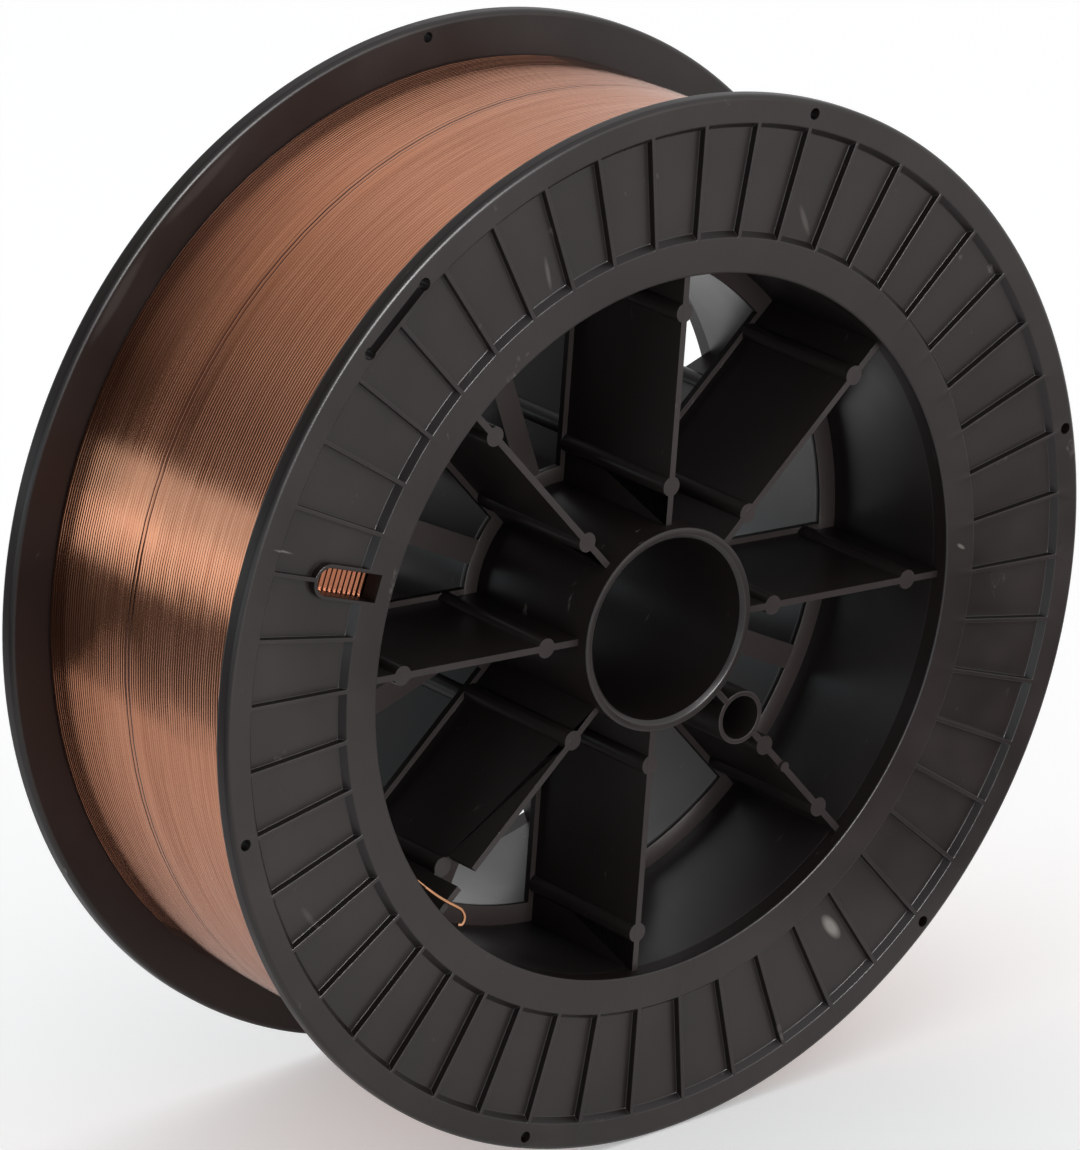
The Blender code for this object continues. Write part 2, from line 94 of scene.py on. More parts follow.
def pick(kind, test):
    """In edit mode, select only what test accepts.

    A vertex is tested by its place, a face by its centre and normal, and an edge by its two
    ends and the angle between its faces.
    """
    bpy.ops.mesh.select_mode(type=kind)
    bpy.ops.mesh.select_all(action="DESELECT")
    mesh = bpy.context.object.data
    shape = bmesh.from_edit_mesh(mesh)
    if kind == "VERT":
        chosen = [v for v in shape.verts if test(v.co)]
    elif kind == "EDGE":
        chosen = [
            e for e in shape.edges if test(e.verts[0].co, e.verts[1].co, e.calc_face_angle(0))
        ]
    else:
        chosen = [f for f in shape.faces if test(f.calc_center_median(), f.normal)]
    for item in chosen:
        item.select_set(True)
    shape.select_flush_mode()
    bmesh.update_edit_mesh(mesh)
    return len(chosen)


def new(operator, name, **where):
    """Add a primitive with nothing else selected, at its size and place, and name it."""
    if bpy.context.object and bpy.context.object.mode != "OBJECT":
        bpy.ops.object.mode_set(mode="OBJECT")
    bpy.ops.object.select_all(action="DESELECT")
    operator(**where)
    made = bpy.context.object
    made.name = name
    made.data.name = name
    return made


def settle(obj, matrix=None):
    """Put the object's place, turn and scale into its mesh."""
    alone(obj)
    if matrix is not None:
        obj.matrix_world = matrix
    bpy.ops.object.transform_apply(location=True, rotation=True, scale=True)
    return obj


def face_out():
    """In edit mode, merge doubled vertices and turn every face outwards."""
    bpy.ops.mesh.select_all(action="SELECT")
    bpy.ops.mesh.remove_doubles(threshold=0.002 * MM)
    bpy.ops.mesh.normals_make_consistent(inside=False)


def smooth(obj, degrees=32):
    """Shade smooth, with edges sharper than the angle kept sharp."""
    alone(obj)
    bpy.ops.object.shade_smooth_by_angle(angle=radians(degrees))
    return obj


def triangles(obj):
    return sum(len(p.vertices) - 2 for p in obj.data.polygons)


# %% Modifiers that are applied at once
def boolean(obj, other, operation):
    """Cut with, or join, another closed mesh, and remove it."""
    alone(obj)
    modifier = obj.modifiers.new("boolean", "BOOLEAN")
    modifier.object = other
    modifier.operation = operation
    modifier.solver = "EXACT"
    bpy.ops.object.modifier_apply(modifier=modifier.name)
    bpy.data.objects.remove(other)
    return obj


def round_edges(obj, width, segments=2, degrees=35):
    """Round the sharp edges, as a mould's corners are."""
    alone(obj)
    modifier = obj.modifiers.new("bevel", "BEVEL")
    modifier.width = width
    modifier.segments = segments
    modifier.limit_method = "ANGLE"
    modifier.angle_limit = radians(degrees)
    modifier.use_clamp_overlap = True
    bpy.ops.object.modifier_apply(modifier=modifier.name)
    return obj


# %% [markdown]
# ## Sizes and places
#
# A half of the spool is modelled lying down, with its axis along Z and its open side up,
# because that is how rings and ribs are easiest to think about. `FRONT_HALF` stands it up
# to face -Y. The rear half is the front one's mirror image, turned by half a rib's place,
# so that each rear rib stands behind a gap.

# %% Sizes from the frame
SPOOL_R = cad_high.x
FACE = cad_high.y
MOUTH_R = 100.5 * MM
BARREL_R = 105 * MM
FLANGE_INSIDE = 46 * MM
SLOT_DEGREES = 130
REAR_TURN = 22.5
RIB_TOP = 48.05 * MM
WEB_MIDDLE = {"front": 2.5 * MM, "rear": -2.5 * MM}
NEAR = 0.1 * MM  # a vertex this close to a radius or a height counts as on it

FRONT_HALF = Matrix.Rotation(pi / 2, 4, "X")
REAR_HALF = (
    Matrix.Rotation(radians(-REAR_TURN), 4, "Y") @ Matrix.Diagonal((1, -1, 1, 1)) @ FRONT_HALF
)
HALVES = {"front": FRONT_HALF, "rear": REAR_HALF}


def turned(degrees):
    return Matrix.Rotation(radians(degrees), 4, "Z")


def copy_of(obj, name, matrix):
    """A copy with its own mesh, put in its place and with its faces outwards.

    Weighted normals keep its large faces flat, so that only the rounded edges shade round.
    """
    made = obj.copy()
    made.data = obj.data.copy()
    made.name = name
    made.data.name = name
    bpy.context.collection.objects.link(made)
    settle(made, matrix)
    edit(made)
    face_out()
    bpy.ops.object.mode_set(mode="OBJECT")
    smooth(made, 50)
    weighted = made.modifiers.new("weighted", "WEIGHTED_NORMAL")
    weighted.keep_sharp = True
    bpy.ops.object.modifier_apply(modifier=weighted.name)
    return made


# %% [markdown]
# ## Rings
#
# The barrel, the hub tube and the web's rings are all turned shapes. On a lathe you would
# cut their section; in Blender you draw the section, a rectangle with rounded corners, and
# spin it round the axis. The face of the rectangle is deleted first: only its outline is
# spun, or the ring would have a wall inside.


# %% A section and a ring
def section(name, inner, outer, low, high):
    """The outline of a rectangle in the XZ plane, open for editing."""
    made = new(
        bpy.ops.mesh.primitive_plane_add,
        name,
        size=1,
        location=((inner + outer) / 2, 0, (low + high) / 2),
        rotation=(pi / 2, 0, 0),
    )
    made.scale = (outer - inner, high - low, 1)
    settle(made)
    return made


def round_corners(test, size, segments):
    """Round the section's corners that test accepts."""
    pick("VERT", test)
    bpy.ops.mesh.bevel(offset=size, segments=segments, affect="VERTICES")


def keep_outline():
    """Delete the section's face, keep its edges, and select them for the spin."""
    bpy.ops.mesh.select_mode(type="FACE")
    bpy.ops.mesh.select_all(action="SELECT")
    bpy.ops.mesh.delete(type="ONLY_FACE")
    bpy.ops.mesh.select_mode(type="VERT")
    bpy.ops.mesh.select_all(action="SELECT")


def ring(name, inner, outer, low, high, steps, corner=0.4 * MM, rounds=2):
    """A turned ring with rounded corners, lying down."""
    made = section(name, inner, outer, low, high)
    edit(made)
    round_corners(lambda co: True, corner, rounds)
    keep_outline()
    bpy.ops.mesh.spin(steps=steps, angle=2 * pi, center=(0, 0, 0), axis=(0, 0, 1))
    face_out()
    return smooth(made)


# %% [markdown]
# ## Colour and nodes
#
# A hex code is an sRGB colour, and a shader wants linear light, so one function turns the
# first into the second. One more adds a node, sets its values and links its inputs.


# %% Colours and nodes
def linear(hex_code):
    channels = [int(hex_code[i : i + 2], 16) / 255 for i in (0, 2, 4)]
    return [c / 12.92 if c <= 0.04045 else ((c + 0.055) / 1.055) ** 2.4 for c in channels] + [1]


def add_node(tree, kind, inputs, **settings):
    """Add a node; an input is a value, or another node's output socket to link."""
    node = tree.nodes.new("ShaderNode" + kind)
    for name, value in settings.items():
        setattr(node, name, value)
    for name, value in inputs.items():
        if isinstance(value, bpy.types.NodeSocket):
            tree.links.new(value, node.inputs[name])
        else:
            node.inputs[name].default_value = value
    return node


def new_material(name, **values):
    """A Principled material, with the values that are the same all over."""
    made = bpy.data.materials.new(name)
    made.use_nodes = True
    shader = made.node_tree.nodes["Principled BSDF"]
    for socket, value in values.items():
        shader.inputs[socket.replace("_", " ")].default_value = value
    return made, made.node_tree, shader


def between(value, low, high, start=0.0, end=1.0):
    """Inputs of a Map Range node: low to high becomes start to end, and no further."""
    return {"Value": value, "From Min": low, "From Max": high, "To Min": start, "To Max": end}


def colours(share, first, second):
    """Inputs of a Mix node for two colours, each a hex code or another node's socket."""
    first, second = (linear(c) if isinstance(c, str) else c for c in (first, second))
    return {0: share, 6: first, 7: second}


# %% [markdown]
# ## Black moulded plastic
#
# The spool is injection moulded black polystyrene: a satin, warm black. Melt that flowed in
# from the gate leaves faint lighter and darker patches a few centimetres wide. Faces that
# lie across the spool's axis are paler and a little shinier than the walls that the mould
# slides along; a face's normal tells which it is, and the walls' darker colour is painted
# shade. The web half way along is painted palest, as painted light. Handling leaves pale
# scuffs, and a few marks have a place of their own: each is a soft ellipse, measured on the
# photograph. Two of these are painted highlights, thin pale lines along the rear flange's
# rim. The grain of the real mould is about 0.2 mm, too fine for the picture, so it is drawn
# at 0.7 mm and kept very shallow.


# %% Marks left by handling, and painted highlights
SCUFF_AND_HIGHLIGHT_TONE = "a39c96"
MARK_REACH = 5 * MM  # how deep a mark goes, so that it stays on its own face
MARKS_AND_RIM_HIGHLIGHTS = [  # x, y and z, length and width in mm, degrees, strength
    (61.5, -51, -105.6, 12, 4.6, -52, 0.9),
    (-129.8, -51, 53.7, 10, 0.8, -25, 0.5),
    (-40.6, -51, 111.1, 12, 1.8, -78, 0.25),
    (48.6, -51, 107.0, 12, 2.2, -71, 0.2),
    (105.8, -51, -0.9, 4, 1.3, -36, 0.5),
    (-122.1, -51, -52.8, 10, 2.4, -56, 0.12),
    # The last two rows are painted highlights: thin pale lines along the rear flange's rounded
    # rim.
    (-84.0, 46, 120.0, 34, 4, 35, 0.12),
    (-112.2, 46, 94.2, 34, 4, 50, 0.12),
]


def mark(tree, place, x, y, z, length, width, degrees, strength):
    """A soft ellipse on one face of the spool, as strong as it says in the middle."""
    inside = add_node(
        tree,
        "Mapping",
        {
            "Vector": place,
            "Location": (x * MM, y * MM, z * MM),
            "Rotation": (0, radians(-degrees), 0),
            "Scale": (length / 2 * MM, MARK_REACH, width / 2 * MM),
        },
        vector_type="TEXTURE",
    )
    spot = add_node(
        tree, "TexGradient", {"Vector": inside.outputs["Vector"]}, gradient_type="SPHERICAL"
    )
    shown = add_node(tree, "MapRange", between(spot.outputs["Fac"], 0, 0.5, end=strength))
    return shown.outputs["Result"]


# %% Across the axis or along it
def size_along_axis(tree, vector):
    """How much of a vector points along the spool's axis, either way.

    Of a face's normal this is 1 on a face across the axis and 0 on a wall along it.
    """
    along_axis = add_node(tree, "SeparateXYZ", {"Vector": vector}).outputs["Y"]
    return add_node(tree, "Math", {0: along_axis}, operation="ABSOLUTE").outputs[0]


def across_axis(tree):
    return size_along_axis(tree, add_node(tree, "NewGeometry", {}).outputs["Normal"])


# %% Plastic
# The web's paler tone is painted light on the web half way along the spool.
WEB_PAINTED_LIGHT_TONE = "5e5350"
WEB_PAINTED_LIGHT_REACH = (6 * MM, 4 * MM)
PATCH = 35 * MM
SCRATCH = 9 * MM
GRAIN = 0.7 * MM
FACE_SHINE = 0.34


def moulded_plastic(name, wall, wall_shine, dark, light, scuffs, marks=()):
    """Black plastic: walls in painted shade, patchy faces, a web in painted light, scuffs and
    marks, some of them painted highlights.
    """
    made, tree, shader = new_material(name, IOR=1.55, Specular_IOR_Level=FACE_SHINE)
    place = add_node(tree, "TexCoord", {}).outputs["Object"]
    patches = add_node(
        tree, "TexNoise", {"Vector": place, "Scale": 1 / PATCH, "Detail": 3, "Roughness": 0.55}
    ).outputs["Fac"]
    patch = add_node(tree, "MapRange", between(patches, 0.35, 0.68)).outputs["Result"]
    faces = add_node(tree, "Mix", colours(patch, dark, light), data_type="RGBA").outputs[2]
    # Near the middle of the spool the faces are painted paler: painted light on the web.
    from_middle = size_along_axis(tree, place)
    painted_web_light = add_node(tree, "MapRange", between(from_middle, *WEB_PAINTED_LIGHT_REACH, end=0.8))
    web = colours(painted_web_light.outputs["Result"], faces, WEB_PAINTED_LIGHT_TONE)
    faces = add_node(tree, "Mix", web, data_type="RGBA").outputs[2]
    # Walls along the axis take the darker wall colour: painted shade on the walls and in the
    # pockets.
    across = across_axis(tree)
    unshaded_face = add_node(tree, "MapRange", between(across, 0.55, 0.95)).outputs["Result"]
    colour = add_node(tree, "Mix", colours(unshaded_face, wall, faces), data_type="RGBA").outputs[2]
    stretched = add_node(
        tree, "Mapping", {"Vector": place, "Rotation": (0.3, 0.5, 0.9), "Scale": (1, 3.2, 0.7)}
    ).outputs["Vector"]
    scratches = add_node(
        tree,
        "TexNoise",
        {"Vector": stretched, "Scale": 1 / SCRATCH, "Detail": 5, "Roughness": 0.7},
    ).outputs["Fac"]
    worn_and_highlit = add_node(tree, "MapRange", between(scratches, 0.66, 0.82, end=scuffs))
    worn_and_highlit = worn_and_highlit.outputs["Result"]
    # Marks, and the rim's painted highlights, are laid over the scuffs.
    for row in marks:
        both = {0: worn_and_highlit, 1: mark(tree, place, *row)}
        worn_and_highlit = add_node(tree, "Math", both, operation="MAXIMUM").outputs[0]
    colour = add_node(tree, "Mix", colours(worn_and_highlit, colour, SCUFF_AND_HIGHLIGHT_TONE), data_type="RGBA")
    tree.links.new(colour.outputs[2], shader.inputs["Base Color"])
    shine = add_node(tree, "MapRange", between(across, 0.2, 0.45, wall_shine, FACE_SHINE))
    tree.links.new(shine.outputs["Result"], shader.inputs["Specular IOR Level"])
    gloss = add_node(tree, "MapRange", between(patches, 0.3, 0.7, 0.3, 0.42))
    tree.links.new(gloss.outputs["Result"], shader.inputs["Roughness"])
    grain = add_node(tree, "TexNoise", {"Vector": place, "Scale": 1 / GRAIN, "Detail": 2})
    bump = add_node(
        tree, "Bump", {"Height": grain.outputs["Fac"], "Strength": 0.12, "Distance": 0.1 * MM}
    )
    tree.links.new(bump.outputs["Normal"], shader.inputs["Normal"])
    return made


# One plastic in three copies: the ribs' and web's copy is painted lighter, as painted light deep
# inside, and the barrel's copy has darker walls, as painted shade in its mouth.
FLANGE_PLASTIC = moulded_plastic(
    "moulded_black_polystyrene", "1f1918", 0.12, "281f1e", "302624", 0.55, MARKS_AND_RIM_HIGHLIGHTS
)
RIB_PLASTIC_PAINTED_LIGHTER = moulded_plastic(
    "moulded_black_polystyrene_ribs_painted_light", "241f1d", 0.12, "302725", "382e2c", 0.3
)
BARREL_PLASTIC_PAINTED_SHADE = moulded_plastic(
    "moulded_black_polystyrene_barrel_painted_shade", "1c1715", 0.5, "302725", "382e2c", 0.3
)
print("plastics:", FLANGE_PLASTIC.name, RIB_PLASTIC_PAINTED_LIGHTER.name, BARREL_PLASTIC_PAINTED_SHADE.name)

# %% [markdown]
# ## Drawn wire with a copper coat
#
# Welding wire is steel that is drawn through dies in a bath that leaves a skin of copper a
# few ten-thousandths of a millimetre thick. It is a bright metal with fine lines along the
# wire, and the coat's thickness changes from turn to turn, so neighbouring turns differ a
# little in colour and gloss. The pattern is a noise that is squeezed along the spool's
# axis, one cell to a millimetre, and stretched round it. The wire below the outer layer has
# a darker copper of its own, which is painted shade. Where it shows between two turns it
# lies in their shade, and `seam` paints that shade as a red-brown seam on the outside of the
# coil's body; its two ends stay brighter.


# %% Copper
ROUND_SCALE = 25
AXIS_SCALE = 900


def copper_coat(name, deep, bright, roughness, seam=""):
    made, tree, shader = new_material(name, Metallic=1.0, Roughness=roughness)
    place = add_node(tree, "TexCoord", {}).outputs["Object"]
    squeezed = add_node(
        tree, "Mapping", {"Vector": place, "Scale": (ROUND_SCALE, AXIS_SCALE, ROUND_SCALE)}
    ).outputs["Vector"]
    turns = add_node(
        tree, "TexNoise", {"Vector": squeezed, "Scale": 1, "Detail": 4, "Roughness": 0.65}
    ).outputs["Fac"]
    share = add_node(tree, "MapRange", between(turns, 0.3, 0.7)).outputs["Result"]
    colour = add_node(tree, "Mix", colours(share, deep, bright), data_type="RGBA").outputs[2]
    # The seam colour is painted shade, where the layer below lies between two turns.
    if seam:
        inwards = add_node(tree, "MapRange", between(across_axis(tree), 0.2, 0.5))
        both = colours(inwards.outputs["Result"], seam, colour)
        colour = add_node(tree, "Mix", both, data_type="RGBA").outputs[2]
    tree.links.new(colour, shader.inputs["Base Color"])
    gloss = add_node(
        tree, "MapRange", between(turns, 0.3, 0.7, roughness - 0.03, roughness + 0.05)
    )
    tree.links.new(gloss.outputs["Result"], shader.inputs["Roughness"])
    return made


WOUND_COPPER = copper_coat("drawn_copper_coated_steel", "a56b50", "be8467", 0.12)
# The copper below is darker: painted shade on the wire under the outer layer.
DEEP_COPPER_PAINTED_SHADE = copper_coat("drawn_copper_coated_steel_below_painted_shade", "93553b", "b4755a", 0.2, "4a1f0c")
TAIL_COPPER = copper_coat("drawn_copper_coated_steel_tail", "c98d66", "e3b08c", 0.22)
print("metals:", WOUND_COPPER.name, DEEP_COPPER_PAINTED_SHADE.name, TAIL_COPPER.name)


# %% Hand a finished piece over
PIECES = []
PLASTIC_PIECES = bpy.data.collections.new("plastic_pieces")


def hand_over(obj, material, slot, *nodes):
    """Give a piece its material and hide the CAD nodes that it stands for."""
    obj.data.materials.clear()
    obj.data.materials.append(material)
    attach(obj, "root")
    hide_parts(*nodes)
    PIECES.append(obj)
    if "plastic" in slot:
        PLASTIC_PIECES.objects.link(obj)
    print(obj.name, triangles(obj), "triangles")


# %% [markdown]
# ## A flange
#
# Each flange is a flat ring, 5.5 mm thick, lightened by 48 shallow pockets with thin ribs
# between them. The pattern repeats every 7.5 degrees, so one slice is modelled and copied
# round: its section is spun through 7.5 degrees, bisected along the sides of the two half
# ribs, and the face between them is pushed down. The pocket's floor is then scaled in from
# both rings, which gives these two walls the slope that lets the part leave the mould.

# %% One slice of the flange
SLICES = 48
PITCH = 2 * pi / SLICES
RIM_RING_R = 142.3 * MM
MOUTH_RING_R = 110.5 * MM
POCKET_DEPTH = 2.1 * MM
SLOPE = 1.5 * MM
HALF_RIB = 0.625 * MM
OUTER_CORNER = 1.5 * MM
MOUTH_CORNER = 0.6 * MM
POCKET_CORNER = 0.22 * MM


def slice_outline():
    made = section("flange_slice", MOUTH_R, SPOOL_R, FLANGE_INSIDE, FACE)
    edit(made)
    round_corners(lambda co: co.x > SPOOL_R - NEAR, OUTER_CORNER, 5)
    round_corners(lambda co: co.x < MOUTH_R + NEAR and co.z > FACE - NEAR, MOUTH_CORNER, 3)
    keep_outline()
    for radius in (MOUTH_RING_R, RIM_RING_R):
        bpy.ops.mesh.select_all(action="SELECT")
        bpy.ops.mesh.bisect(plane_co=(radius, 0, 0), plane_no=(1, 0, 0))
    bpy.ops.mesh.select_all(action="SELECT")
    bpy.ops.mesh.spin(steps=6, angle=PITCH, center=(0, 0, 0), axis=(0, 0, 1))
    return made


FLANGE = slice_outline()
WAY = 1 if max(v.co.y for v in bmesh.from_edit_mesh(FLANGE.data).verts) > MM else -1
print("the spin went", "towards +Y" if WAY > 0 else "towards -Y")


# %% The pocket
def from_sides(co):
    """How far a point lies inside the slice's two straight sides."""
    angle = atan2(co.y * WAY, co.x)
    radius = hypot(co.x, co.y)
    return min(radius * sin(angle), radius * sin(PITCH - angle))


def in_pocket_ring(centre, normal):
    radius = hypot(centre.x, centre.y)
    return centre.z > FACE - NEAR and MOUTH_RING_R < radius < RIM_RING_R


def cut_pocket():
    """Sink the face between the half ribs, slope its ends and round its edges."""
    for side in (0, 1):
        angle = side * PITCH * WAY
        inward = (1 if side == 0 else -1) * WAY
        normal = Vector((-sin(angle), cos(angle), 0)) * inward
        pick("FACE", in_pocket_ring)
        bpy.ops.mesh.bisect(plane_co=normal * HALF_RIB, plane_no=normal)
    pick("FACE", lambda c, n: in_pocket_ring(c, n) and from_sides(c) > HALF_RIB)
    bpy.ops.mesh.extrude_region_move(TRANSFORM_OT_translate={"value": (0, 0, -POCKET_DEPTH)})
    floor = FACE - POCKET_DEPTH
    for edge, change in ((MOUTH_RING_R, SLOPE), (RIM_RING_R, -SLOPE)):
        pick(
            "VERT",
            lambda co: abs(co.z - floor) < NEAR / 10 and abs(hypot(co.x, co.y) - edge) < MM,
        )
        share = (edge + change) / edge
        bpy.ops.transform.resize(value=(share, share, 1), center_override=(0, 0, 0))
    pick(
        "EDGE",
        lambda a, b, angle: angle > radians(25)
        and min(a.z, b.z) > floor - NEAR
        and all(MOUTH_RING_R - MM < hypot(p.x, p.y) < RIM_RING_R + 0.5 * MM for p in (a, b)),
    )
    bpy.ops.mesh.bevel(offset=POCKET_CORNER, segments=2, affect="EDGES")


cut_pocket()
print("faces in a slice:", len(bmesh.from_edit_mesh(FLANGE.data).faces))

# %% Copy the slice round
bpy.ops.mesh.select_all(action="SELECT")
bpy.ops.mesh.spin(
    steps=SLICES - 1,
    dupli=True,
    angle=PITCH * (SLICES - 1),
    center=(0, 0, 0),
    axis=(0, 0, 1),
)
face_out()
bpy.ops.object.mode_set(mode="OBJECT")
settle(FLANGE, turned(SLOT_DEGREES))
print("flange before its holes:", triangles(FLANGE), "triangles")

# %% [markdown]
# ## Slot, window and rim holes
#
# The wire's free end goes through a narrow slot with round ends. A window near the barrel
# shows how much wire is left. Both have a raised lip in the pockets that they cross. Each
# of them starts as a cylinder: the vertices on one side are moved along, which stretches it
# into a slot, or pressed flat, which gives the window its square end. An opening's cutter
# widens at its top, and leaves a small chamfer.


# %% Cutters and lips
ROUND_SIDES = 32
MOUTH_CHAMFER = 0.3 * MM
LIP_CORNER = 0.25 * MM


def stretched_cylinder(name, length, width, low, high, flat_start=False):
    """A cylinder stretched along X, from x = 0 to its length."""
    middle = length - width / 2
    made = new(
        bpy.ops.mesh.primitive_cylinder_add,
        name,
        vertices=ROUND_SIDES,
        radius=width / 2,
        depth=high - low,
        location=(middle, 0, (low + high) / 2),
        rotation=(0, 0, pi / ROUND_SIDES),
    )
    settle(made)
    edit(made)
    pick("VERT", lambda co: co.x < middle)
    if flat_start:
        bpy.ops.transform.resize(value=(0, 1, 1), center_override=(0, 0, 0))
        bpy.ops.mesh.select_all(action="SELECT")
        bpy.ops.mesh.dissolve_limited(angle_limit=radians(1))
    else:
        bpy.ops.transform.translate(value=(width - length, 0, 0))
    bpy.ops.object.mode_set(mode="OBJECT")
    return made


def cutter(name, length, width, matrix, flat_start=False):
    """What an opening takes away; it ends above the face and is wider there."""
    low = FLANGE_INSIDE - 2 * MM
    made = stretched_cylinder(name, length, width, low, FACE - MOUTH_CHAMFER, flat_start)
    edit(made)
    pick("FACE", lambda c, n: n.z > 0.9)
    wider = 2 * MOUTH_CHAMFER
    bpy.ops.mesh.extrude_region_move(TRANSFORM_OT_translate={"value": (0, 0, wider)})
    bpy.ops.transform.resize(
        value=((length + wider) / length, (width + wider) / width, 1),
        center_override=(length / 2, 0, 0),
    )
    bpy.ops.object.mode_set(mode="OBJECT")
    return settle(made, matrix)


def lip(name, length, width, matrix, flat_start=False):
    """A raised pad; its top lies just under the face, so that the two don't fight."""
    floor = FACE - POCKET_DEPTH
    made = stretched_cylinder(name, length, width, floor - MM, FACE - 0.02 * MM, flat_start)
    round_edges(made, LIP_CORNER)
    return settle(made, matrix)


# %% Lips first, then the openings
SLOT_LENGTH = 27 * MM
SLOT_WIDTH = 2.4 * MM
SLOT_R = 144 * MM
SLOT_END = 3.4 * MM
SLOT_LIP_LENGTH = SLOT_LENGTH + 1.1 * MM
SLOT_LIP_WIDTH = 5.4 * MM
WINDOW_START = 106 * MM
WINDOW_LENGTH = 21 * MM
WINDOW_WIDTH = 7.5 * MM
WINDOW_LIP_LENGTH = WINDOW_LENGTH + 1.15 * MM
WINDOW_LIP_WIDTH = 9.8 * MM

SLOT_PLACE = turned(SLOT_DEGREES) @ Matrix.Translation((SLOT_R, 0, 0)) @ turned(90)
WINDOW_PLACE = turned(SLOT_DEGREES + 30) @ Matrix.Translation((WINDOW_START, 0, 0))


def along(distance):
    """A place on the slot's line, which runs across the radius."""
    return SLOT_PLACE @ Matrix.Translation((distance, 0, 0))


REAR_FLANGE = copy_of(FLANGE, "rear_flange_model", Matrix())
slot_lip = lip("slot_lip", SLOT_LIP_LENGTH, SLOT_LIP_WIDTH, along(-SLOT_LIP_LENGTH / 2))
boolean(FLANGE, slot_lip, "UNION")
window_lip = lip("window_lip", WINDOW_LIP_LENGTH, WINDOW_LIP_WIDTH, WINDOW_PLACE, True)
boolean(FLANGE, window_lip, "UNION")
slot = cutter("slot", SLOT_LENGTH, SLOT_WIDTH, along(-SLOT_LENGTH / 2))
boolean(FLANGE, slot, "DIFFERENCE")
for end in (-SLOT_LENGTH / 2, SLOT_LENGTH / 2 - SLOT_END):
    boolean(FLANGE, cutter("slot_end", SLOT_END, SLOT_END, along(end)), "DIFFERENCE")
window = cutter("window", WINDOW_LENGTH, WINDOW_WIDTH, WINDOW_PLACE, True)
boolean(FLANGE, window, "DIFFERENCE")

# %% Rim holes
RIM_HOLE = 3 * MM
RIM_HOLE_R = 146.4 * MM


def rim_hole(obj, degrees):
    hole_place = turned(degrees) @ Matrix.Translation((RIM_HOLE_R - RIM_HOLE / 2, 0, 0))
    return boolean(obj, cutter("rim_hole", RIM_HOLE, RIM_HOLE, hole_place), "DIFFERENCE")


for degrees in range(SLOT_DEGREES + 60, SLOT_DEGREES + 360, 60):
    rim_hole(FLANGE, degrees)
for degrees in (92.5 - REAR_TURN, 272.5 - REAR_TURN):
    rim_hole(REAR_FLANGE, degrees)
print("flange with its holes:", triangles(FLANGE), "triangles")

# %% Both flanges
for half, source in (("front", FLANGE), ("rear", REAR_FLANGE)):
    piece = copy_of(source, half + "_flange_shown", HALVES[half])
    hand_over(piece, FLANGE_PLASTIC, "flange_plastic", half + "_flange")
    bpy.data.objects.remove(source)

# %% [markdown]
# ## Barrel, hub tube and web
#
# These are plain rings. They reach a fraction of a millimetre further than their CAD
# solids, up to their neighbours, because the real spool is one moulding and shows no gap
# there. The barrel has a small hole near its front edge, where the wire starts.

# %% Barrel
START_DEGREES = 212
START_HEIGHT = FACE - 8 * MM
START_HOLE_R = 1.0 * MM

barrel = ring("barrel_shown", MOUTH_R, BARREL_R, -FLANGE_INSIDE, FLANGE_INSIDE, 192, 0.05 * MM, 1)
start_hole = new(
    bpy.ops.mesh.primitive_cylinder_add,
    "start_hole",
    vertices=20,
    radius=START_HOLE_R,
    depth=12 * MM,
    location=(BARREL_R - 2 * MM, 0, START_HEIGHT),
    rotation=(0, pi / 2, 0),
)
settle(start_hole)
settle(start_hole, turned(START_DEGREES))
boolean(barrel, start_hole, "DIFFERENCE")
settle(barrel, FRONT_HALF)
hand_over(smooth(barrel), BARREL_PLASTIC_PAINTED_SHADE, "barrel_plastic", "barrel")

# %% Hub tube
HUB_R = 29.1 * MM
HUB_BORE_R = 26 * MM
HUB_CORNER = 0.5 * MM
LEAD_IN = 1.1 * MM
LEAD_IN_CORNER = 0.2 * MM
TURNED_STEPS = 128

hub = section("hub_tube_shown", HUB_BORE_R, HUB_R, -FACE, FACE)
edit(hub)
round_corners(lambda co: co.x > HUB_R - NEAR, HUB_CORNER, 3)
round_corners(lambda co: co.x < HUB_BORE_R + NEAR, LEAD_IN, 1)
round_corners(lambda co: HUB_BORE_R + MM < co.x < HUB_R - MM, LEAD_IN_CORNER, 2)
keep_outline()
bpy.ops.mesh.spin(steps=TURNED_STEPS, angle=2 * pi, center=(0, 0, 0), axis=(0, 0, 1))
face_out()
bpy.ops.object.mode_set(mode="OBJECT")
settle(smooth(hub, 20), FRONT_HALF)
hand_over(hub, FLANGE_PLASTIC, "hub_plastic", "hub_tube")


# %% The web's two rings
def web_span(half):
    """Lowest and highest point of the web in the frame of one half."""
    return WEB_MIDDLE[half] - MM, WEB_MIDDLE[half] + MM


WEB_HUB_R = 33.8 * MM
WEB_BARREL_R = 94.7 * MM
OVERLAP = 0.1 * MM
for name, inner, outer in (
    ("web_hub_ring", HUB_R - OVERLAP, WEB_HUB_R),
    ("web_barrel_ring", WEB_BARREL_R, MOUTH_R + OVERLAP),
):
    web = ring(name + "_shown", inner, outer, *web_span("front"), TURNED_STEPS, 0.3 * MM)
    hand_over(settle(web, FRONT_HALF), RIB_PLASTIC_PAINTED_LIGHTER, "web_plastic", name)

